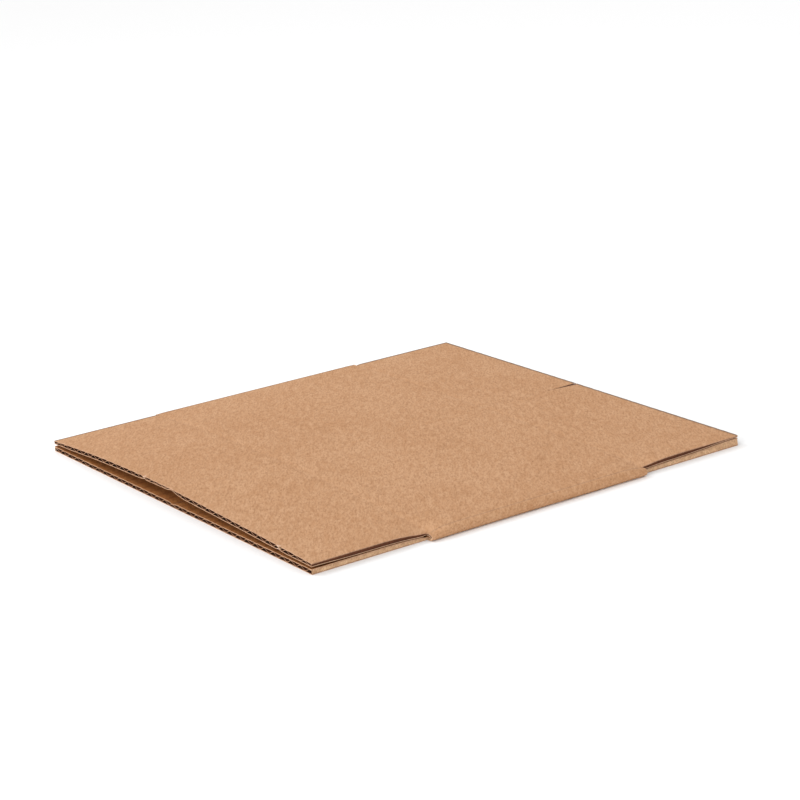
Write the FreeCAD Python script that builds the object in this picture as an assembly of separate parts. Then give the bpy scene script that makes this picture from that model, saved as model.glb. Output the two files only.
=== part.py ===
"""Flattened carton: one corrugated blank, glued into a ring and pressed flat.

The blank has four panels side by side, each with a flap at both ends. It lies folded at two of its
creases, so it forms a lower sheet of two panels and an upper sheet of two panels. The flutes run
along Y. The two side folds run along Y at the far left and far right. The lower sheet rests on z = 0,
and the upper sheet stands up into a low tent along its middle, higher at the near end.
Sizes are in millimetres.
"""

import math
import os

import FreeCAD
import Part

# Blank, measured between creases
PANEL_WIDTH = 105.0
PANEL_HEIGHT = 108.0
FLAP_LENGTH = 53.0

# Board: two liners with a fluted medium between them
BOARD = 2.1
LINER = 0.28
MEDIUM = 0.22
FLUTE_PITCH = 6.4
FLUTE_CREST = 1.1

# How the two sheets lie on each other
SHEET_GAP = 0.4
LIFT_NEAR = 3.9
LIFT_FAR = 0.2

# Side folds: the board is crushed to a thin wall that turns round in a half circle
FOLD_WALL = 1.1
FOLD_CRUSH = 4.5

# Cuts between neighbouring flaps
SIDE_SLOT = 3.2
MID_SLOT_NEAR = 0.3
MID_SLOT_FAR = 1.4
OPEN_FLUTE_DEPTH = 1.6

# Pressed lines
MID_CRUSH = 2.6
CREASE_DEPTH = 0.4
SCORE_DEPTH = 0.22
SCORE_HALF_WIDTH = 1.5

# Glued joint in the lower sheet
SEAM_GAP = 0.8
TAB_WIDTH = 32.0
TAB_THICKNESS = 0.8
TAB_INSET = 4.0
TAB_MITRE = 5.0

# Pinched spots in the near edge of the upper sheet, measured from its right end
PINCH_PLACES = (126.0, 23.0)
PINCH_WIDTH = 2.4
PINCH_DEPTH = 0.6
PINCH_REACH = 2.2

# Derived stations and levels
HALF_HEIGHT = PANEL_HEIGHT / 2
END = HALF_HEIGHT + FLAP_LENGTH
FLAP_EDGE = PANEL_WIDTH - SIDE_SLOT / 2
FOLD_START = PANEL_WIDTH - FOLD_CRUSH
UPPER = BOARD + SHEET_GAP
FOLD_RADIUS = (UPPER + BOARD) / 2
SCORE_STATIONS = tuple(
    side * (HALF_HEIGHT + step * SCORE_HALF_WIDTH) for side in (-1, 1) for step in (-1, 0, 1)
)


def tent(x, y):
    """Rise of the upper sheet at a point of the plan: none at the side folds, most in the middle."""
    along = (END - y) / (2 * END)
    ridge = LIFT_FAR + (LIFT_NEAR - LIFT_FAR) * along
    return ridge * max(0.0, 1 - abs(x) / PANEL_WIDTH)


def score(y):
    """Depth of the flap score at a station."""
    return SCORE_DEPTH if math.isclose(abs(y), HALF_HEIGHT) else 0.0


def stations(start, stop):
    """Stations along Y of a strip: its two ends, and the score lines that lie between or on them."""
    inner = [y for y in SCORE_STATIONS if start < y < stop]
    return sorted([start, stop] + inner)


def section_wire(points, y, upper):
    """Closed section of a strip at one station, raised with the tent where it is in the upper sheet."""
    places = [FreeCAD.Vector(x, y, z + (tent(x, y) if upper else 0.0)) for x, z in points]
    return Part.makePolygon(places + places[:1])


def strip(profile, start, stop, upper, holes=()):
    """Solid strip of board that runs along Y; its outline may differ from station to station.

    The holes are the flute channels, which run straight from one end to the other.
    """
    outlines = [section_wire(profile(y), y, upper) for y in stations(start, stop)]
    near = [section_wire(hole, start, upper) for hole in holes]
    far = [section_wire(hole, stop, upper) for hole in holes]
    faces = list(Part.makeLoft(outlines, False, True).Faces)
    for mouth, exit_mouth in zip(near, far):
        faces += Part.makeLoft([mouth, exit_mouth], False, True).Faces
    faces.append(Part.Face([outlines[0]] + near))
    faces.append(Part.Face([outlines[-1]] + far))
    shell = Part.makeShell(faces)
    shell.sewShape()
    solid = Part.Solid(Part.Shell(shell.Faces))
    solid.fix(1e-6, 1e-6, 1e-4)
    if solid.Volume < 0:
        solid.reverse()
    return solid


def slab(x_from, x_to, upper):
    """Profile of plain board between two places across the sheet, pressed in at the flap scores.

    The score shows on the outer face: the top of the upper sheet, the underside of the lower one.
    """
    def profile(y):
        bottom = UPPER if upper else score(y)
        top = UPPER + BOARD - score(y) if upper else BOARD
        return [(x_from, bottom), (x_to, bottom), (x_to, top), (x_from, top)]
    return profile


def flute_channels(x_from, x_to, base):
    """Sections of the hollow channels on both sides of the medium, between two places of a sheet."""
    count = max(1, round((x_to - x_from) / FLUTE_PITCH))
    pitch = (x_to - x_from) / count
    lean = MEDIUM / 2
    low = base + LINER
    high = base + BOARD - LINER
    half_crest = FLUTE_CREST / 2
    half_mouth = pitch / 2 - half_crest - lean
    channels = []
    for index in range(count):
        middle = x_from + (index + 0.5) * pitch
        channels.append([
            (middle - half_crest, low + MEDIUM),
            (middle + half_crest, low + MEDIUM),
            (middle + half_mouth, high),
            (middle - half_mouth, high),
        ])
        if index + 1 < count:
            crest = middle + pitch / 2
            channels.append([
                (crest - half_mouth, low),
                (crest + half_mouth, low),
                (crest + half_crest, high - MEDIUM),
                (crest - half_crest, high - MEDIUM),
            ])
    return channels


def panel_strip(side, upper):
    """Fluted board of one panel with its two flaps, between the middle and the side fold."""
    ends = sorted((side * MID_CRUSH, side * FOLD_START))
    base = UPPER if upper else 0.0
    channels = flute_channels(ends[0], ends[1], base)
    return strip(slab(ends[0], ends[1], upper), -END, END, upper, channels)


def flap_edge(side, end, upper):
    """Board at the slot side of a flap, where the cut has opened the last flute."""
    base = UPPER if upper else 0.0
    start, stop = sorted((end * HALF_HEIGHT, end * END))

    def profile(y):
        bottom = base if upper else score(y)
        top = base + BOARD - score(y) if upper else BOARD
        pocket = FLAP_EDGE - OPEN_FLUTE_DEPTH
        points = [
            (FOLD_START, bottom),
            (FLAP_EDGE, bottom),
            (FLAP_EDGE, base + LINER),
            (pocket, base + LINER + MEDIUM),
            (pocket, base + BOARD - LINER - MEDIUM),
            (FLAP_EDGE, base + BOARD - LINER),
            (FLAP_EDGE, top),
            (FOLD_START, top),
        ]
        return [(side * x, z) for x, z in points]
    return strip(profile, start, stop, upper)


def side_fold(side):
    """Side fold of the body: the crushed board turns round from the lower to the upper sheet."""
    reach = FOLD_RADIUS - FOLD_WALL

    def outline(y):
        rise = tent(FOLD_START, y)

        def at(x, z):
            return FreeCAD.Vector(side * x, y, z)

        outer = Part.Arc(
            at(PANEL_WIDTH, 0.0),
            at(PANEL_WIDTH + FOLD_RADIUS, FOLD_RADIUS),
            at(PANEL_WIDTH, 2 * FOLD_RADIUS),
        ).toShape()
        inner = Part.Arc(
            at(PANEL_WIDTH, FOLD_RADIUS + reach),
            at(PANEL_WIDTH + reach, FOLD_RADIUS),
            at(PANEL_WIDTH, FOLD_RADIUS - reach),
        ).toShape()
        corners = [
            at(PANEL_WIDTH, 2 * FOLD_RADIUS),
            at(FOLD_START, UPPER + BOARD + rise),
            at(FOLD_START, UPPER + rise),
            at(PANEL_WIDTH, FOLD_RADIUS + reach),
        ]
        lower = [
            at(PANEL_WIDTH, FOLD_RADIUS - reach),
            at(FOLD_START, BOARD),
            at(FOLD_START, 0.0),
            at(PANEL_WIDTH, 0.0),
        ]
        edges = [outer]
        edges += Part.makePolygon(corners).Edges
        edges += [inner]
        edges += Part.makePolygon(lower).Edges
        return Part.Wire(edges)

    return Part.makeLoft([outline(-HALF_HEIGHT), outline(HALF_HEIGHT)], True, True)


def upper_crease():
    """Pressed crease between the two upper panels; a shallow valley along the ridge of the tent."""
    def profile(y):
        top = UPPER + BOARD - score(y)
        return [
            (-MID_CRUSH, UPPER),
            (0.0, UPPER),
            (MID_CRUSH, UPPER),
            (MID_CRUSH, top),
            (0.0, UPPER + BOARD - CREASE_DEPTH),
            (-MID_CRUSH, top),
        ]
    return strip(profile, -HALF_HEIGHT, HALF_HEIGHT, True)


def upper_slot_edge(side, end):
    """Crushed board beside the narrow cut between two upper flaps, closed near and open far."""
    start, stop = sorted((end * HALF_HEIGHT, end * END))
    opening = MID_SLOT_NEAR if end < 0 else MID_SLOT_FAR

    def profile(y):
        inward = (END - abs(y)) / FLAP_LENGTH
        cut = side * (opening + (MID_SLOT_NEAR - opening) * inward) / 2
        return slab(*sorted((cut, side * MID_CRUSH)), True)(y)
    return strip(profile, start, stop, True)


def lower_seam_edge(side):
    """Crushed board beside the seam of the lower sheet, from one flap end to the other."""
    ends = sorted((side * SEAM_GAP / 2, side * MID_CRUSH))
    return strip(slab(ends[0], ends[1], False), -END, END, False)


def glue_tab():
    """Tab of the left lower panel, crushed thin and glued on the inside of the right lower panel."""
    root = -MID_CRUSH
    seam = SEAM_GAP / 2
    half = HALF_HEIGHT - TAB_INSET
    section = [
        (root, BOARD),
        (-seam, BOARD - TAB_THICKNESS),
        (seam, BOARD),
        (TAB_WIDTH, BOARD),
        (TAB_WIDTH, BOARD + TAB_THICKNESS),
        (-seam, BOARD + TAB_THICKNESS),
    ]
    places = [FreeCAD.Vector(x, -half, z) for x, z in section]
    body = Part.Face(Part.makePolygon(places + places[:1])).extrude(FreeCAD.Vector(0, 2 * half, 0))
    plan = [
        FreeCAD.Vector(root, -half, 0),
        FreeCAD.Vector(TAB_WIDTH, TAB_MITRE - half, 0),
        FreeCAD.Vector(TAB_WIDTH, half - TAB_MITRE, 0),
        FreeCAD.Vector(root, half, 0),
    ]
    trim = Part.Face(Part.makePolygon(plan + plan[:1])).extrude(FreeCAD.Vector(0, 0, 2 * UPPER))
    return body.common(trim)


def pinch(x):
    """Small wedge pressed into the top liner at the near edge of the upper sheet."""
    top = UPPER + BOARD + tent(x, -END)
    mouth = [
        FreeCAD.Vector(x - PINCH_WIDTH / 2, -END - PINCH_REACH, top + PINCH_DEPTH),
        FreeCAD.Vector(x + PINCH_WIDTH / 2, -END - PINCH_REACH, top + PINCH_DEPTH),
        FreeCAD.Vector(x, -END - PINCH_REACH, top - 2 * PINCH_DEPTH),
    ]
    tip = FreeCAD.Vector(x, -END + PINCH_REACH, top + PINCH_DEPTH / 2)
    sides = [
        Part.Face(Part.makePolygon([mouth[i], mouth[(i + 1) % 3], tip, mouth[i]])) for i in range(3)
    ]
    sides.append(Part.Face(Part.makePolygon(mouth + mouth[:1])))
    return Part.Solid(Part.makeShell(sides))


def flattened_carton():
    """The whole blank as one solid."""
    pieces = [upper_crease(), glue_tab()]
    for side in (-1, 1):
        pieces.append(side_fold(side))
        pieces.append(lower_seam_edge(side))
        for upper in (False, True):
            pieces.append(panel_strip(side, upper))
            for end in (-1, 1):
                pieces.append(flap_edge(side, end, upper))
        for end in (-1, 1):
            pieces.append(upper_slot_edge(side, end))
    carton = pieces[0].multiFuse(pieces[1:])
    carton = carton.cut([pinch(FLAP_EDGE - place) for place in PINCH_PLACES])
    return carton.removeSplitter()


os.makedirs("parts", exist_ok=True)
carton = flattened_carton()
bounds = carton.BoundBox
carton.translate(FreeCAD.Vector(0, 0, -bounds.ZMin))
carton.exportStep("parts/carton.step")
print("carton: solids", len(carton.Solids), "faces", len(carton.Faces), "valid", carton.isValid())
print("size", round(bounds.XLength, 2), round(bounds.YLength, 2), round(bounds.ZLength, 2))
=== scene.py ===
# %% [markdown]
# # A corrugated box, pressed flat
#
# The real object is one sheet of corrugated board. It was slotted, creased, glued into a ring with
# its own tab, and then folded flat at two of its creases. We see two sheets of board on each other,
# joined by a rounded fold at the left and at the right. This lesson models the board as what it is:
# two paper liners with a wavy paper between them. Each paper starts as a flat grid, as large as the
# unfolded blank, is slotted there, and is then folded by moving its points.

import math

import bmesh
import bpy
from mathutils import Euler, Matrix, Vector, noise


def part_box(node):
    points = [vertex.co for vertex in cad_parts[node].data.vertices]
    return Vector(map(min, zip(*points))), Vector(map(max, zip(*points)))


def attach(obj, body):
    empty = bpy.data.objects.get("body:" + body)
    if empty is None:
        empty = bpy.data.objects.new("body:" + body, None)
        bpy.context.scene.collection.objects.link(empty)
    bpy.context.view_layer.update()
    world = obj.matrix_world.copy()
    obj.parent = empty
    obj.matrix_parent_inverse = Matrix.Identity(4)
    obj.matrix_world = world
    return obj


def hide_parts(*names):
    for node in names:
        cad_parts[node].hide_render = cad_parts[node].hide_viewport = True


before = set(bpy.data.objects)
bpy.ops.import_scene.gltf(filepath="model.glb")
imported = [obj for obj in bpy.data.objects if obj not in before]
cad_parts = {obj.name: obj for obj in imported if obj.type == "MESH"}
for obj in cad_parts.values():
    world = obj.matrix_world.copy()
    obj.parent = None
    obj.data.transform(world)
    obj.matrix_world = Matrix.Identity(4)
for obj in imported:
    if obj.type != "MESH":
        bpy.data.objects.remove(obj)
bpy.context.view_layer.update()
box_low, box_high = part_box("carton")
print("frame box", [round(value, 4) for value in (*box_low, *box_high)])

# %% [markdown]
# ## Sizes
#
# A box maker gives the panels between their creases. The frame gives the outer reach: the ends of
# the flaps lie at its ends along Y, and the round of a side fold reaches its sides along X. The
# flutes run along Y, so the wave of the middle paper is drawn across X. A whole number of waves
# fits between the two folds, because the creases then fall on the same place of a wave on both
# sides.

# %% Sizes of the blank and of the board
MM = 0.001
PANEL = 105 * MM
HALF_BODY = 54 * MM
FLAP_END = box_high.y
BOARD = 2.05 * MM
LINER = 0.27 * MM
MEDIUM = 0.20 * MM
FLUTES = 33
PITCH = 2 * PANEL / FLUTES
FOLD_RADIUS = box_high.x - PANEL
FOLD_WALL = 1.75 * MM
FOLD_BEAD = 0.3 * MM
SIDE_SLOT = 3.2 * MM
MID_SLOT = 0.08 * MM
FAR_CUT = -PITCH / 2
SEAM = 0.25 * MM
RIDGE_NEAR = 3.75 * MM
RIDGE_FAR = 0.2 * MM
print("fold radius", round(FOLD_RADIUS / MM, 2), "mm, flute pitch", round(PITCH / MM, 2), "mm")

# %% [markdown]
# ## Helpers for soft shapes
#
# Pressed board has no sharp steps: a crease is a soft valley, and a dent fades out. Two small
# functions give all of these. `ease` goes from 0 to 1 between two places, and `dip` is 1 at a
# place and fades to 0 on both sides. A third one, `grain`, gives the smooth random value that frays
# the cut ends.


# %% Soft steps and dips
def ease(start, stop, value):
    """0 before start, 1 after stop, smooth between."""
    share = min(1.0, max(0.0, (value - start) / (stop - start)))
    return share * share * (3 - 2 * share)


def dip(distance, width):
    """1 at no distance, fading to 0 over about twice the width."""
    return math.exp(-(distance / width) ** 2)


def grain(x, y, size, seed):
    """Smooth random value between about -1 and 1 that changes over the given size."""
    return noise.noise(Vector((x / size, y / size, seed)))


print("a quarter of the way along a soft step", round(ease(0.0, 1.0, 0.25), 3))

# %% [markdown]
# ## How thick the board is at each place
#
# A place on the unfolded blank has two coordinates: `across`, measured over the panels from the
# middle crease of the upper sheet, and `along`, measured with the flutes. Creasing rollers crush
# the board along every line that will fold, knives pinch it beside a cut, and knocks pinch its
# edge. The upper board is also pressed thinner at its near corners and beside the kink of its near
# edge. Towards the far corners its cut wall tapers, and the lower board takes up what it gives.
# So thickness is a function of the place, and everything inside the board follows it.

# %% Thickness and surface dips
SCORE_CRUSH = 0.8 * MM
SCORE_WIDTH = 1.5 * MM
SCORE_DIP = 0.16 * MM
SCORE_PASSAGE = 1.5 * MM
CREASE_CRUSH = 0.8 * MM
CREASE_ON_FLAPS = 0.6
CREASE_WIDTH = 2.1 * MM
CREASE_DIP = 0.3 * MM
KNIFE_DIP = 0.12 * MM
KNIFE_WIDTH = 0.7 * MM
KNIFE_BURR = 0.1 * MM
FOLD_LINE_DIP = 0.25 * MM
FOLD_LINE_WIDTH = 1.2 * MM
CRUSH_RUN = 4.6 * MM
BEAD_WIDTH = SIDE_SLOT / 4
WASHBOARD = 0.035 * MM
PINCH_PLACES = (-22.6 * MM, 80.4 * MM)
PINCH_WIDTH = 1.1 * MM
PINCH_REACH = 2.4 * MM
PINCH_CRUSH = 0.8 * MM
PINCH_DIP = 0.3 * MM
CORNER_CRUSH = 0.55 * MM
CORNER_REACH = 14 * MM
KINK_CRUSH = 0.8 * MM
KINK_RUN_LEFT = 40 * MM
KINK_RUN_RIGHT = 12 * MM
KINK_DEPTH = 12 * MM
WEDGE = 1.1 * MM
WEDGE_WIDTH = 3 * MM
WEDGE_START = 32 * MM
WEDGE_STOP = 4 * MM


def in_body(along):
    """1 between the flap scores, 0 on the flaps, with a short passage between."""
    return 1 - ease(HALF_BODY - SCORE_PASSAGE, HALF_BODY + SCORE_PASSAGE, abs(along))


def pinched(across, along):
    """How strongly a knock has pinched the near edge of the upper sheet here."""
    reach = dip(along + FLAP_END, PINCH_REACH)
    return reach * sum(dip(across - place, PINCH_WIDTH) for place in PINCH_PLACES)


def from_slot_edge(across):
    """Distance from the nearest edge of a side slot, on either side of it."""
    return abs(abs(abs(across) - PANEL) - SIDE_SLOT / 2)


def knifed(across, along):
    """How strongly the slotting knife has pressed the board here."""
    return (1 - in_body(along)) * dip(from_slot_edge(across), KNIFE_WIDTH)


def wedged(across, along):
    """Share of the upper board given to the lower one, at a side slot towards the far corner."""
    towards_far = ease(FLAP_END - WEDGE_START, FLAP_END - WEDGE_STOP, along)
    return dip(from_slot_edge(across), WEDGE_WIDTH) * towards_far


def thickness(across, along):
    """Thickness of the board at a place of the blank."""
    from_fold = abs(abs(across) - PANEL)
    fold = in_body(along) * (1 - ease(SIDE_SLOT / 2, CRUSH_RUN, from_fold))
    result = BOARD - fold * (BOARD - FOLD_WALL)
    result += in_body(along) * FOLD_BEAD * dip(from_fold, BEAD_WIDTH)
    result -= (1 - fold) * SCORE_CRUSH * dip(abs(along) - HALF_BODY, SCORE_WIDTH)
    crease = dip(across, CREASE_WIDTH) + dip(abs(across) - 2 * PANEL, CREASE_WIDTH)
    result -= CREASE_CRUSH * crease * max(in_body(along), CREASE_ON_FLAPS)
    result += (KNIFE_BURR if abs(across) > PANEL else -KNIFE_DIP) * knifed(across, along)
    result -= PINCH_CRUSH * pinched(across, along)
    corner = dip(from_fold, CORNER_REACH) * dip(along + FLAP_END, CORNER_REACH)
    result -= CORNER_CRUSH * corner * (abs(across) < PANEL)
    result += (WEDGE if abs(across) > PANEL else -WEDGE) * wedged(across, along)
    kink_run = KINK_RUN_RIGHT if across > 0 else KINK_RUN_LEFT
    kink = dip(along + FLAP_END, KINK_DEPTH) * (1 - ease(0.0, kink_run, abs(across)))
    result -= KINK_CRUSH * kink
    return max(result, LINER + MEDIUM + LINER)


def surface_dip(across, along):
    """How far the outer skin lies under its flat level at a place of the blank."""
    result = SCORE_DIP * dip(abs(along) - HALF_BODY, SCORE_WIDTH)
    result += CREASE_DIP * in_body(along) * dip(across, CREASE_WIDTH / 2)
    from_line = abs(across) - PANEL + SIDE_SLOT / 2
    result += FOLD_LINE_DIP * in_body(along) * dip(from_line, FOLD_LINE_WIDTH)
    result += WASHBOARD * (1 - math.cos(2 * math.pi * across / PITCH)) / 2
    result += PINCH_DIP * pinched(across, along)
    if 0 < across < PANEL:
        result += KNIFE_DIP * knifed(across, along)
    return result


print("board at a flap score", round(thickness(PANEL / 2, HALF_BODY) / MM, 2), "mm")

# %% [markdown]
# ## Folding
#
# The outer skin follows one path: flat along the lower sheet, round a half circle at the side fold,
# and along the upper sheet, which rises to a low ridge and bulges beside it, most on the left. The
# board was stretched round the fold, so the narrow zone between the slots' edges covers the whole
# half circle. Both sheets are flattened where a slot meets the right fold. `folded` gives the point
# in space for a place of the blank and a depth under the outer skin.

# %% Fold the blank
FAR_OPENING = 2.6 * MM
OPENING_RUN = 15 * MM
OPENING_REACH = 9 * MM
OPENING_SHUT = 0.4 * MM
KINK = 0.2 * MM
KINK_WIDTH = 3 * MM
BULGE_LEFT = 1.3 * MM
BULGE_RIGHT = 0.35 * MM
PRESS_NEAR = 0.33
PRESS_FAR = 0.22
PRESS_REACH = 9 * MM
PRESS_ON_FLAP = 9 * MM
PRESS_ON_FOLD = 5 * MM
LEAD = SIDE_SLOT / 2
ROUND = math.pi * FOLD_RADIUS


def ridge(x, along):
    """Rise of the upper sheet: none at the side folds, most in the middle, more at the near end."""
    near = (FLAP_END - along) / (2 * FLAP_END)
    height = RIDGE_FAR + (RIDGE_NEAR - RIDGE_FAR) * near
    tent = max(0.0, 1 - abs(x) / PANEL)
    bulge = (BULGE_LEFT if x < 0 else BULGE_RIGHT) * 4 * tent * (1 - tent)
    return height * tent + near * (bulge + KINK * (dip(x, KINK_WIDTH) - 1) * tent)


def skin(across, along):
    """Point of the outer skin, and the direction into the board, as x and z pairs."""
    side = math.copysign(1.0, across)
    reach = abs(across)
    if reach <= PANEL - LEAD:
        return (across, 2 * FOLD_RADIUS + ridge(across, along)), (0.0, -1.0)
    if reach >= PANEL + LEAD:
        return (side * (2 * PANEL - reach), 0.0), (0.0, 1.0)
    travel = (reach - PANEL + LEAD) / (2 * LEAD) * (ROUND + 2 * LEAD) - LEAD
    if travel < 0:
        x = side * (PANEL + travel)
        return (x, 2 * FOLD_RADIUS + ridge(x, along)), (0.0, -1.0)
    if travel > ROUND:
        return (side * (PANEL - travel + ROUND), 0.0), (0.0, 1.0)
    turn = travel / FOLD_RADIUS
    out = (side * math.sin(turn), math.cos(turn))
    return (
        side * PANEL + FOLD_RADIUS * out[0],
        FOLD_RADIUS + FOLD_RADIUS * out[1],
    ), (-out[0], -out[1])


def far_corner(across, along):
    """Share of the opening beside the far middle cut: widest near its end, and shut at the end."""
    beside = max(0.0, 1 - abs(across - FAR_CUT) / OPENING_REACH)
    from_end = FLAP_END - along
    return beside * max(0.0, 1 - from_end / OPENING_RUN) * (1 - dip(from_end, OPENING_SHUT))


def spread(across, along, depth):
    """Sideways shift beside the far middle cut, where the outer liner gapes over the medium."""
    share = far_corner(across, along) * max(0.0, 1 - depth / LINER)
    return math.copysign(FAR_OPENING / 2, across - FAR_CUT) * share


def pressed(across, along):
    """How strongly both sheets are flattened where a slot meets the right fold."""
    if across < 0:
        return 0.0
    from_slot_end = abs(along) - HALF_BODY
    run = PRESS_ON_FLAP if from_slot_end > 0 else PRESS_ON_FOLD
    strength = PRESS_NEAR if along < 0 else PRESS_FAR
    return strength * dip(across - PANEL, PRESS_REACH) * dip(from_slot_end, run)


def folded(across, along, depth):
    """Point in space for a place of the blank, at a depth under the outer skin."""
    (x, z), (into_x, into_z) = skin(across, along)
    down = depth + surface_dip(across, along)
    sideways = spread(across, along, depth)
    height = (z + into_z * down) * (1 - pressed(across, along))
    return Vector((x + into_x * down + sideways, along, height))


print("top of the ridge", round(folded(0.0, -FLAP_END, 0.0).z / MM, 2), "mm")

# %% [markdown]
# ## The lines of the grid
#
# Every paper layer is one grid. Its lines have to lie where something happens: on the crests and
# flanks of the waves, on both edges of each slot, and close together at creases and cut ends. The
# grid operator gives evenly spaced lines, so they are counted first and then slid to their places.

# %% Places of the grid lines
STEPS_PER_FLUTE = 8
STEPS_PER_FOLD = 26
WALL_STEP = 0.3 * MM
FINE_ROW = 0.45 * MM
COARSE_ROW = 9 * MM
ROW_GROWTH = 1.45


def lines_across():
    """Places of the lines that run with the flutes."""
    step = PITCH / STEPS_PER_FLUTE
    count = round(2 * PANEL / step)
    end = 2 * PANEL - SEAM / 2
    places = [index * step for index in range(1, count)]
    wall = SIDE_SLOT / 2 + WALL_STEP
    places = [s for s in places if abs(s - PANEL) > wall + step / 3 and s < end - step / 3]
    places += [PANEL + SIDE_SLOT * (i / STEPS_PER_FOLD - 0.5) for i in range(STEPS_PER_FOLD + 1)]
    places += [PANEL - wall, PANEL + wall, MID_SLOT / 2, end]
    places += [-place for place in places]
    places = [place for place in places if abs(place - FAR_CUT) > step / 2]
    return sorted(places + [FAR_CUT - MID_SLOT / 2, FAR_CUT + MID_SLOT / 2])


def graded(start, stop):
    """Places from start to stop, close together at both ends and further apart between."""
    places = []
    travel, step = 0.0, FINE_ROW
    while travel + step < (stop - start) / 2:
        places.append(travel)
        travel += step
        step = min(step * ROW_GROWTH, COARSE_ROW)
    places.append(travel)
    return [start + place for place in places] + [stop - place for place in reversed(places)]


def lines_along():
    """Places of the lines that run across the flutes."""
    flap = graded(HALF_BODY, FLAP_END)
    body = graded(-HALF_BODY, HALF_BODY)
    return [-place for place in reversed(flap)] + body[1:-1] + flap


ACROSS = lines_across()
ALONG = lines_along()
print("grid lines", len(ACROSS), "by", len(ALONG))

# %% [markdown]
# ## One flat blank, with its slots
#
# On the real blank, rotary knives cut a slot between neighbouring flaps. In the grid that is the
# same job: the faces between two slot edges are deleted beyond the flap scores. Cutting while the
# sheet is still flat is simple, because a slot is a plain rectangle there.


# %% Make a slotted blank
def flat_blank():
    """Flat grid of the blank, slotted, as a bmesh whose x is across and whose y is along."""
    sheet = bmesh.new()
    bmesh.ops.create_grid(sheet, x_segments=len(ACROSS) - 1, y_segments=len(ALONG) - 1, size=0.5)
    left = min(point.co.x for point in sheet.verts)
    front = min(point.co.y for point in sheet.verts)
    for point in sheet.verts:
        column = round((point.co.x - left) / (-2 * left) * (len(ACROSS) - 1))
        row = round((point.co.y - front) / (-2 * front) * (len(ALONG) - 1))
        point.co = Vector((ACROSS[column], ALONG[row], 0.0))
    cut = [face for face in sheet.faces if in_slot(face.calc_center_median())]
    bmesh.ops.delete(sheet, geom=cut, context="FACES")
    return sheet


def in_slot(place):
    """True where the knives take the board away."""
    on_flap = abs(place.y) > HALF_BODY
    side = abs(abs(place.x) - PANEL) < SIDE_SLOT / 2
    middle = abs(place.x - (FAR_CUT if place.y > 0 else 0.0)) < MID_SLOT / 2
    return on_flap and (side or middle)


print("faces of the slotted blank", len(flat_blank().faces))

# %% [markdown]
# ## The three papers
#
# The outer and inner liners lie at the two faces of the board, and the wavy medium swings between
# them. Each is the same blank at another depth, so one function makes all three from a rule for the
# depth. A cut through paper is never quite straight: the ends are frayed a little, each paper in its
# own way. A Solidify modifier gives each paper its thickness, and its rim gets a second material,
# because cut fibres look lighter than the face.

# %% Make a paper layer
FRAY = 0.16 * MM
FRAY_SIZE = 2.2 * MM
SETBACK_STEPS = 8
END_TOLERANCE = MM / 100
SHARP_ANGLE = math.radians(38)
FACE, RIM, BACK, BARED = range(4)


def fray(across, along, seed):
    """How far the paper falls short of the knife's line at the two ends, the medium most."""
    if abs(along) < FLAP_END - END_TOLERANCE:
        return 0.0
    return FRAY * (0.5 + 0.5 * grain(across, along, FRAY_SIZE, seed)) + FRAY * seed / SETBACK_STEPS


def paper(name, depth_rule, thick, grow, seed, back, bared):
    """Fold a blank at the depth that the rule gives, and make it a thick sheet."""
    sheet = flat_blank()
    for face in sheet.faces:
        face.smooth = True
        face.material_index = BARED if bared(face.calc_center_median()) else FACE
    for point in sheet.verts:
        across, along = point.co.x, point.co.y
        place = folded(across, along, depth_rule(across, along))
        place.y -= math.copysign(fray(across, along, seed), along)
        point.co = place
    mesh = bpy.data.meshes.new(name)
    sheet.to_mesh(mesh)
    sheet.free()
    piece = bpy.data.objects.new(name, mesh)
    bpy.context.collection.objects.link(piece)
    thicken = piece.modifiers.new("Paper thickness", "SOLIDIFY")
    thicken.thickness = thick
    thicken.offset = grow
    thicken.material_offset_rim = RIM
    thicken.material_offset = back
    return piece


def settle(piece):
    """Apply the modifiers, and shade sharp only where faces meet at a clear angle."""
    graph = bpy.context.evaluated_depsgraph_get()
    solid = bpy.data.meshes.new_from_object(piece.evaluated_get(graph), depsgraph=graph)
    piece.modifiers.clear()
    piece.data = solid
    solid.name = piece.name
    solid.set_sharp_from_angle(angle=SHARP_ANGLE)
    solid.calc_loop_triangles()
    print(piece.name, "triangles", len(solid.loop_triangles))
    return piece


print("longest fray of the outer liner", round(FRAY / MM, 2), "mm")

# %% [markdown]
# ## Where each paper lies
#
# A depth rule says how far under the outer skin a paper lies at each place. The medium follows a
# cosine between the liners. It stands up as a torn wall at a side slot, and lies just under the
# outer liner where that gapes at the far cut. Pinched and torn places are marked as bared, so they
# can get a paler finish.

# %% Depth rules
TORN_WIDTH = 1.8 * MM
FOLD_WAVES = 2
SCUFFED_FROM = 0.8
TORN_FROM = 0.3


def outer_depth(across, along):
    """The outer liner starts at the skin."""
    return 0.0


def inner_depth(across, along):
    """The inner liner ends at the inner face of the board."""
    return thickness(across, along) + WASHBOARD * (1 + math.cos(2 * math.pi * across / PITCH)) / 2


def medium_wave(across, along):
    """Swing of the medium: -1 under the outer liner, 1 on the inner one."""
    round_share = min(1.0, max(0.0, (abs(across) - PANEL + LEAD) / (2 * LEAD)))
    wave = math.cos(2 * math.pi * (abs(across) / PITCH + FOLD_WAVES * round_share))
    if in_body(along) > 0.5:
        return wave
    from_cut = abs(abs(across) - PANEL) - SIDE_SLOT / 2
    if from_cut < WALL_STEP / 2:
        return -1.0
    return wave + (1 - wave) * (1 - ease(WALL_STEP, TORN_WIDTH, from_cut))


def medium_depth(across, along):
    """The medium swings between the liners, and stands as a wall at a side slot."""
    half = thickness(across, along) / 2
    swing = half - LINER - MEDIUM / 2
    depth = half + swing * medium_wave(across, along)
    return depth + (LINER + MEDIUM / 2 - depth) * far_corner(across, along)


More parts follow.
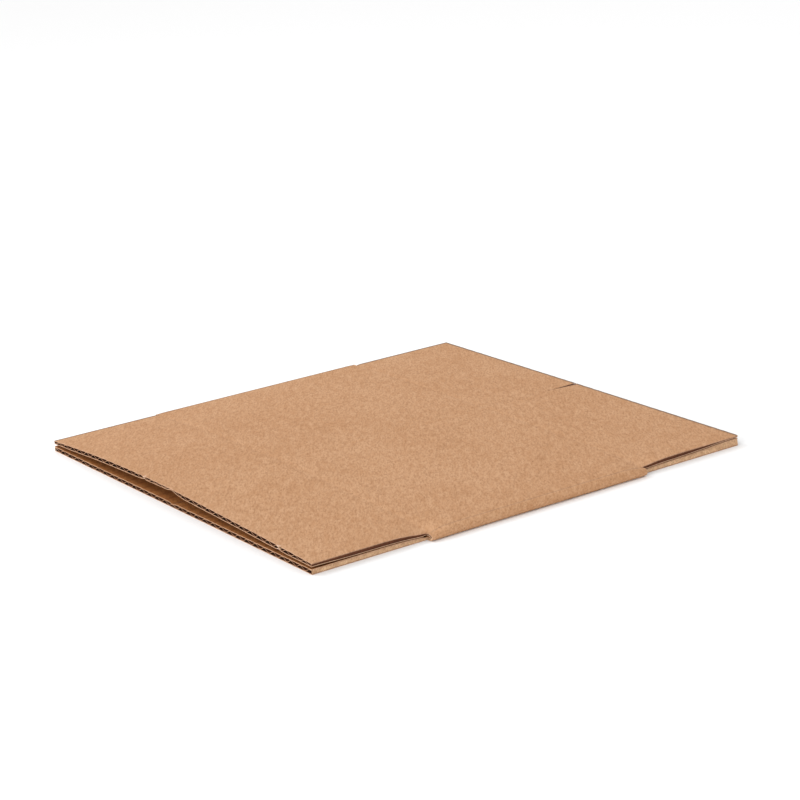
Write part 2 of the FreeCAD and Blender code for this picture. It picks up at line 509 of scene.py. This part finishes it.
def bared_liner(place):
    """Where a liner is scuffed pale: in a pinch."""
    return pinched(place.x, place.y) > SCUFFED_FROM


def bared_medium(place):
    """Where torn, pale medium shows: in the fold, in a pinch, and along the lower sheet's slots."""
    from_fold = abs(abs(place.x) - PANEL)
    in_fold = abs(place.y) < HALF_BODY and from_fold < SIDE_SLOT
    slot_wall = abs(place.y) > HALF_BODY and abs(place.x) > PANEL and from_fold < SIDE_SLOT
    return in_fold or slot_wall or pinched(place.x, place.y) > TORN_FROM


outer_liner = paper("outer_liner", outer_depth, LINER, -1.0, 0.0, BACK, bared_liner)
inner_liner = paper("inner_liner", inner_depth, LINER, 1.0, 1.0, BACK, bared_liner)
medium = paper("fluted_medium", medium_depth, MEDIUM, 0.0, 2.0, FACE, bared_medium)
print("papers", outer_liner.name, inner_liner.name, medium.name)

# %% [markdown]
# ## The glue tab
#
# The left lower panel ends in a tab that is crushed thin, bent up by its own thickness and glued on
# the inside of the right lower panel. From below, it shows as the floor of the narrow seam. It is a
# grid again, with mitred ends, that climbs from the left panel onto the right one.

# %% Make the glue tab
TAB_WIDTH = 32 * MM
TAB_THICKNESS = 0.8 * MM
TAB_HALF_LENGTH = 50 * MM
TAB_MITRE = 5 * MM
TAB_ROOT = 2.0 * MM
TAB_COLUMNS = 48
TAB_ROWS = 40


def glue_tab():
    """Crushed tab between the sheets, from the seam to its mitred edge."""
    sheet = bmesh.new()
    bmesh.ops.create_grid(sheet, x_segments=TAB_COLUMNS, y_segments=TAB_ROWS, size=0.5)
    for point in sheet.verts:
        run = point.co.x + 0.5
        x = run * (TAB_WIDTH + TAB_ROOT) - TAB_ROOT
        half_length = TAB_HALF_LENGTH - TAB_MITRE * run
        climb = BOARD - TAB_THICKNESS * (1 - ease(-TAB_ROOT, SEAM, x))
        ripple = WASHBOARD * math.cos(2 * math.pi * x / PITCH)
        top = climb + TAB_THICKNESS + ripple
        point.co = Vector((x, 2 * point.co.y * half_length, top))
    for face in sheet.faces:
        face.smooth = True
    mesh = bpy.data.meshes.new("glue_tab")
    sheet.to_mesh(mesh)
    sheet.free()
    piece = bpy.data.objects.new("glue_tab", mesh)
    bpy.context.collection.objects.link(piece)
    thicken = piece.modifiers.new("Tab thickness", "SOLIDIFY")
    thicken.thickness = TAB_THICKNESS
    thicken.offset = -1.0
    thicken.material_offset_rim = RIM
    return piece


tab = glue_tab()
print("glue tab reaches", round(TAB_WIDTH / MM), "mm past the seam")

# %% [markdown]
# ## Shader arithmetic
#
# A material is easier to read as a formula than as a web of nodes. `Wire` wraps a socket, and an
# expression on wires adds the Math nodes for it. `Paint` holds one material and adds any other node
# by its type, its settings and what goes into its sockets.


# %% A small language for materials
class Wire:
    """A number socket that grows Math nodes when it is used in an expression."""

    def __init__(self, paint, socket):
        self.paint = paint
        self.socket = socket

    def combine(self, operation, first, second):
        node = self.paint.node("ShaderNodeMath", {"operation": operation}, {0: first, 1: second})
        return Wire(self.paint, node.outputs[0])

    def __add__(self, other):
        return self.combine("ADD", self, other)

    def __radd__(self, other):
        return self.combine("ADD", other, self)

    def __sub__(self, other):
        return self.combine("SUBTRACT", self, other)

    def __rsub__(self, other):
        return self.combine("SUBTRACT", other, self)

    def __mul__(self, other):
        return self.combine("MULTIPLY", self, other)

    def __rmul__(self, other):
        return self.combine("MULTIPLY", other, self)


class Paint:
    """One material, its Principled shader and the nodes that feed it."""

    def __init__(self, name):
        self.material = bpy.data.materials.new(name)
        self.material.use_nodes = True
        self.tree = self.material.node_tree
        self.shader = self.tree.nodes["Principled BSDF"]
        self.object_place = self.node("ShaderNodeTexCoord").outputs["Object"]

    def node(self, kind, settings=None, values=None):
        """Add a node, set its settings, then fill or link its sockets."""
        node = self.tree.nodes.new(kind)
        for key, value in (settings or {}).items():
            setattr(node, key, value)
        for key, value in (values or {}).items():
            self.feed(node.inputs[key], value)
        return node

    def feed(self, socket, value):
        """Link a socket to a wire or another socket, or set its value."""
        if isinstance(value, Wire):
            value = value.socket
        if isinstance(value, bpy.types.NodeSocket):
            self.tree.links.new(value, socket)
        else:
            socket.default_value = value

    def stretched(self, size, turn):
        """Object coordinates for a pattern with grains of this size, turned in the panels' plane."""
        settings = {"vector_type": "TEXTURE"}
        values = {"Vector": self.object_place, "Rotation": Euler((0.0, 0.0, turn)), "Scale": size}
        return self.node("ShaderNodeMapping", settings, values).outputs["Vector"]

    def cloud(self, scale, detail, roughness, place=None):
        """Noise around one half, as a wire."""
        values = {
            "Vector": place or self.object_place,
            "Scale": scale,
            "Detail": detail,
            "Roughness": roughness,
        }
        return Wire(self, self.node("ShaderNodeTexNoise", None, values).outputs["Fac"])

    def curve(self, operation, value):
        """Math node with one input, as a wire."""
        return Wire(self, self.node("ShaderNodeMath", {"operation": operation}, {0: value}).outputs[0])

    def ramp(self, value, low, high, start=0.0, stop=1.0):
        """Map a wire from one range to another, clamped."""
        settings = {"clamp": True}
        values = {"Value": value, "From Min": low, "From Max": high, "To Min": start, "To Max": stop}
        return Wire(self, self.node("ShaderNodeMapRange", settings, values).outputs["Result"])

    def mix(self, amount, first, second):
        """Mix two colours. Inputs 6 and 7 of the node are its two colours."""
        node = self.node("ShaderNodeMix", {"data_type": "RGBA"})
        self.feed(node.inputs["Factor"], amount)
        self.feed(node.inputs[6], first)
        self.feed(node.inputs[7], second)
        return node.outputs[2]


def tone(red, green, blue):
    """Colour from the 0 to 255 values of a picture, made linear."""
    channels = [value / 255 for value in (red, green, blue)]
    linear = [c / 12.92 if c < 0.04045 else ((c + 0.055) / 1.055) ** 2.4 for c in channels]
    return (*linear, 1.0)


print("kraft as a linear colour", [round(value, 3) for value in tone(204, 160, 118)])

# %% [markdown]
# ## Kraft paper
#
# Brown liner paper is unbleached pulp. From a step away it is an even tan. Closer, it has soft
# clouds where the pulp is thicker, a fine speckle of fibres, and a few dark flecks of bark. It is
# dull, with a faint sheen at a low angle. Four noises give the colour: broad clouds, a mottle, the
# fibres and the flecks. The mottle and the fibres are longer than they are wide, lie slanted over
# the panels, and also give the bump. The outer face is darkened grey along its far and left edges,
# and has a painted shade along the crease line beside the right fold. The inner face is painted
# darker and more orange as the shade of the gap between the sheets, and shows the flutes as stripes
# of painted shade. The fluting paper is a darker paper, and it and the flute sides of the liners are
# painted darker still as the shade inside the flute cavities.

# %% Kraft materials
GRAIN_TURN = math.radians(-34)
FIBRE_SIZE = (2.4 * MM, 0.8 * MM, 0.8 * MM)
MOTTLE_SIZE = (6.0 * MM, 2.0 * MM, 2.0 * MM)
CLOUD_SCALE = 24.0
CLOUD_SHARE = 0.3
FLECK_SCALE = 900.0
TONE_RANGE = (0.38, 0.62)
DARK_RANGE = (0.42, 0.7)
DARK_AMOUNT = 0.75
FLECK_RANGE = (0.7, 0.78)
# Range of the flute wave that gets stripes of painted shade on the inner face.
RIPPLE_SHADE_RANGE = (0.3, 1.0)
ROUGH_RANGE = (0.3, 0.7)
ROUGH_SWING = 0.05
BUMP_STRENGTH = 0.4
BUMP_DEPTH = 0.1 * MM
FIBRE_SHARE = 0.7
SHEEN = 0.25
FLECK_COLOUR = (124, 84, 54)
# Grey-brown of the darkened far and left edges, and of the painted shade along the crease line.
EDGE_AND_CREASE_DARK = (104, 82, 66)
DARK_EDGE_FULL = 0.6 * MM
DARK_EDGE_WIDTH = 1.4 * MM
FOLD_LINE_PLACE = 0.8 * MM
# Strength of the painted shade along the crease line beside the right fold.
CREASE_SHADE_AMOUNT = 0.3
BODY_REACH = LEAD + MM
BODY_EDGE = MM / 10


def kraft(name, light, base, dark, fleck_strength, rough, ripple_shade=0.0, dark_edges_and_crease_shade=0.0):
    """Paper of three tones with flecks, and if wanted with stripes of painted shade along the flutes, or
    with darkened edges and a painted shade along the crease line.
    """
    paint = Paint(name)
    clouds = paint.cloud(CLOUD_SCALE, detail=2.0, roughness=0.5)
    slanted = paint.stretched(MOTTLE_SIZE, GRAIN_TURN)
    mottle = paint.cloud(1.0, detail=2.0, roughness=0.6, place=slanted)
    slanted = paint.stretched(FIBRE_SIZE, GRAIN_TURN)
    fibres = paint.cloud(1.0, detail=3.0, roughness=0.7, place=slanted)
    flecks = paint.cloud(FLECK_SCALE, detail=1.0, roughness=0.5)
    pulp = clouds * CLOUD_SHARE + mottle * (1 - CLOUD_SHARE)
    body = paint.mix(paint.ramp(pulp, *TONE_RANGE), tone(*base), tone(*light))
    body = paint.mix(paint.ramp(fibres, *DARK_RANGE, 0.0, DARK_AMOUNT), body, tone(*dark))
    flecked = paint.ramp(flecks, *FLECK_RANGE, 0.0, fleck_strength)
    body = paint.mix(flecked, body, tone(*FLECK_COLOUR))
    spot = paint.node("ShaderNodeSeparateXYZ", None, {0: paint.object_place}).outputs
    x, y, z = (Wire(paint, spot[axis]) for axis in "XYZ")
    # Stripes of painted shade, repeating with the flute pitch, stand for the shading of the flute ripples.
    if ripple_shade:
        wave = paint.curve("COSINE", x * (2 * math.pi / PITCH))
        body = paint.mix(paint.ramp(wave, *RIPPLE_SHADE_RANGE, 0.0, ripple_shade), body, tone(*dark))
    # Darkened grey-brown along the far and left edges of the outer face.
    if dark_edges_and_crease_shade:
        from_middle = paint.curve("ABSOLUTE", y)
        on_body = paint.ramp(from_middle, HALF_BODY, HALF_BODY + BODY_EDGE, BODY_REACH, 0.0)
        for away in (FLAP_END - y, x + PANEL - LEAD + on_body):
            edge_dark = paint.ramp(away, DARK_EDGE_WIDTH, DARK_EDGE_FULL, 0.0, dark_edges_and_crease_shade)
            body = paint.mix(edge_dark, body, tone(*EDGE_AND_CREASE_DARK))
        # Painted shade along the crease line beside the right fold, on the upper sheet's body.
        from_line = paint.curve("ABSOLUTE", x - (PANEL - FOLD_LINE_PLACE))
        upper = paint.ramp(z, FOLD_RADIUS, FOLD_RADIUS + MM, 0.0, CREASE_SHADE_AMOUNT)
        crease_line_shade = paint.ramp(from_line, FOLD_LINE_WIDTH / 2, 0.0) * upper * on_body * (1 / BODY_REACH)
        body = paint.mix(crease_line_shade, body, tone(*EDGE_AND_CREASE_DARK))
    height = fibres * FIBRE_SHARE + mottle * (1 - FIBRE_SHARE)
    relief = {"Strength": BUMP_STRENGTH, "Distance": BUMP_DEPTH, "Height": height}
    bump = paint.node("ShaderNodeBump", None, relief)
    dull = paint.ramp(mottle, *ROUGH_RANGE, rough - ROUGH_SWING, rough + ROUGH_SWING)
    paint.feed(paint.shader.inputs["Base Color"], body)
    paint.feed(paint.shader.inputs["Roughness"], dull)
    paint.feed(paint.shader.inputs["Normal"], bump.outputs["Normal"])
    paint.shader.inputs["Specular IOR Level"].default_value = SHEEN
    return paint.material


# The outer face gets the darkened edges and the painted shade along the crease line.
outer_face = kraft(
    "Outer liner face", (199, 155, 118), (187, 140, 101), (155, 110, 73), 0.6, 0.86, dark_edges_and_crease_shade=0.9
)
# The inner liner face is kraft, painted darker and more orange as the shade of the gap between the sheets,
# with stripes of painted shade along the flutes.
inner_face_and_gap_shade = kraft("Inner liner face with painted gap shade", (168, 112, 60), (156, 99, 48), (126, 74, 32), 0.3, 0.88, ripple_shade=0.5)
liner_cut = kraft("Cut liner edge", (202, 162, 132), (188, 148, 118), (160, 120, 92), 0.1, 0.92)
scuffed = kraft("Scuffed liner", (216, 184, 164), (204, 170, 150), (178, 144, 122), 0.1, 0.92)
# The flute side of a liner is the same kraft, painted near black as the shade inside the flute cavities.
flute_cavity_shade = kraft("Flute side of a liner in painted shade", (88, 54, 32), (76, 44, 27), (58, 33, 20), 0.1, 0.92)
# The fluting paper is a darker paper, painted darker still as the shade inside the flute cavities.
fluting_paper_and_shade = kraft("Fluting paper with painted shade", (102, 58, 34), (88, 48, 28), (66, 36, 20), 0.1, 0.92)
medium_cut = kraft("Cut fluting edge", (178, 136, 104), (162, 120, 90), (134, 94, 68), 0.1, 0.92)
medium_bared = kraft("Bared fluting paper", (216, 178, 140), (192, 152, 116), (152, 112, 80), 0.3, 0.92)

# %% [markdown]
# ## Finishes of each piece
#
# Each paper lists its finishes by face number: its face, its cut rim, its back, a bared place, and
# the rim or back of a bared place. The inner liner is thickened the other way, so its first finish
# is the side with the flutes and its third is the inside of the box.

# %% Give the finishes
for piece, finishes in (
    (outer_liner, (outer_face, liner_cut, flute_cavity_shade, scuffed, scuffed)),
    (inner_liner, (flute_cavity_shade, liner_cut, inner_face_and_gap_shade, scuffed, scuffed)),
    (medium, (fluting_paper_and_shade, medium_cut, fluting_paper_and_shade, medium_bared, medium_bared)),
    (tab, (inner_face_and_gap_shade, liner_cut)),
):
    for finish in finishes:
        piece.data.materials.append(finish)
    settle(piece)

# %% [markdown]
# ## Seat the pieces on the frame
#
# The papers together stand for the frame's one solid, and they all ride on its one body.

# %% Attach
for piece in (outer_liner, inner_liner, medium, tab):
    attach(piece, "root")
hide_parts("carton")
print("the outer liner takes the place of the carton")

# %% [markdown]
# ## Floor and light
#
# A pale floor and wide soft lights. An even distant light comes low from the front and fills the
# cut near edge. A square panel close by, at the upper left in front, makes the left of the top a
# little lighter than the right. A white surround opens the shadows.

# %% Floor and lights
FLOOR_HALF = 4.0
FLOOR_DROP = MM / 20
FLOOR_TONE = 0.96
FLOOR_ROUGHNESS = 0.9
FRONT_FROM = (0.3, -1.0, 0.35)
FRONT_SOFTNESS = math.radians(40)
FRONT_STRENGTH = 1.4
WINDOW_PLACE = (-0.55, -0.45, 0.75)
WINDOW_SIZE = 0.5
WINDOW_POWER = 3.2
SURROUND = 0.86


def floor():
    """Pale floor, just under the board."""
    sheet = bmesh.new()
    bmesh.ops.create_grid(sheet, x_segments=1, y_segments=1, size=FLOOR_HALF)
    mesh = bpy.data.meshes.new("floor")
    sheet.to_mesh(mesh)
    sheet.free()
    plane = bpy.data.objects.new("floor", mesh)
    plane.location.z = -FLOOR_DROP
    bpy.context.collection.objects.link(plane)
    paint = Paint("Pale floor")
    paint.shader.inputs["Base Color"].default_value = (FLOOR_TONE, FLOOR_TONE, FLOOR_TONE, 1.0)
    paint.shader.inputs["Roughness"].default_value = FLOOR_ROUGHNESS
    plane.data.materials.append(paint.material)
    return plane


def distant_light(name, place, softness, strength):
    """Even light from far away, wide enough for soft shadows."""
    data = bpy.data.lights.new(name, "SUN")
    data.angle = softness
    data.energy = strength
    light = bpy.data.objects.new(name, data)
    light.rotation_euler = Vector(place).to_track_quat("Z", "Y").to_euler()
    bpy.context.collection.objects.link(light)
    return light


def panel_light(name, place, size, power):
    """Square soft light close by, which faces the box and is weaker on its far side."""
    data = bpy.data.lights.new(name, "AREA")
    data.shape = "SQUARE"
    data.size = size
    data.energy = power
    light = bpy.data.objects.new(name, data)
    light.location = place
    light.rotation_euler = Vector(place).to_track_quat("Z", "Y").to_euler()
    bpy.context.collection.objects.link(light)
    return light


floor()
distant_light("front", FRONT_FROM, FRONT_SOFTNESS, FRONT_STRENGTH)
panel_light("window", WINDOW_PLACE, WINDOW_SIZE, WINDOW_POWER)
world = bpy.data.worlds.new("Pale surround")
world.use_nodes = True
world.node_tree.nodes["Background"].inputs["Color"].default_value = (1.0, 1.0, 1.0, 1.0)
world.node_tree.nodes["Background"].inputs["Strength"].default_value = SURROUND
bpy.context.scene.world = world
bpy.context.scene.view_settings.view_transform = "Standard"
print("strength of the white surround", SURROUND)

# %% [markdown]
# ## Camera
#
# The picture was taken with a long lens, from the right side of the near edge and a little above.
# The place and the turn are given as angles round the box, so they can be read and changed.

# %% Camera
AZIMUTH = math.radians(-34.14)
ELEVATION = math.radians(17.02)
ROLL = math.radians(-3.58)
DISTANCE = 1.0399
OFFSET = (-0.00497, -0.02071)
FOCAL_PIXELS = 2420
FRAME_PIXELS = 800
SENSOR = 36.0


def camera():
    """Camera on a sphere round the box, rolled a little, and slid sideways to place the box."""
    data = bpy.data.cameras.new("camera")
    data.sensor_width = SENSOR
    data.lens = SENSOR * FOCAL_PIXELS / FRAME_PIXELS
    eye = bpy.data.objects.new("camera", data)
    toward = Vector((
        math.cos(ELEVATION) * math.cos(AZIMUTH),
        math.cos(ELEVATION) * math.sin(AZIMUTH),
        math.sin(ELEVATION),
    ))
    right = Vector((-math.sin(AZIMUTH), math.cos(AZIMUTH), 0.0))
    up = toward.cross(right)
    rolled_right = right * math.cos(ROLL) + up * math.sin(ROLL)
    rolled_up = up * math.cos(ROLL) - right * math.sin(ROLL)
    turn = Matrix((rolled_right, rolled_up, toward)).transposed()
    place = toward * DISTANCE - rolled_right * OFFSET[0] - rolled_up * OFFSET[1]
    eye.matrix_world = Matrix.Translation(place) @ turn.to_4x4()
    bpy.context.collection.objects.link(eye)
    return eye


bpy.context.scene.camera = camera()
print("lens", round(SENSOR * FOCAL_PIXELS / FRAME_PIXELS, 1), "mm, distance", DISTANCE, "m")
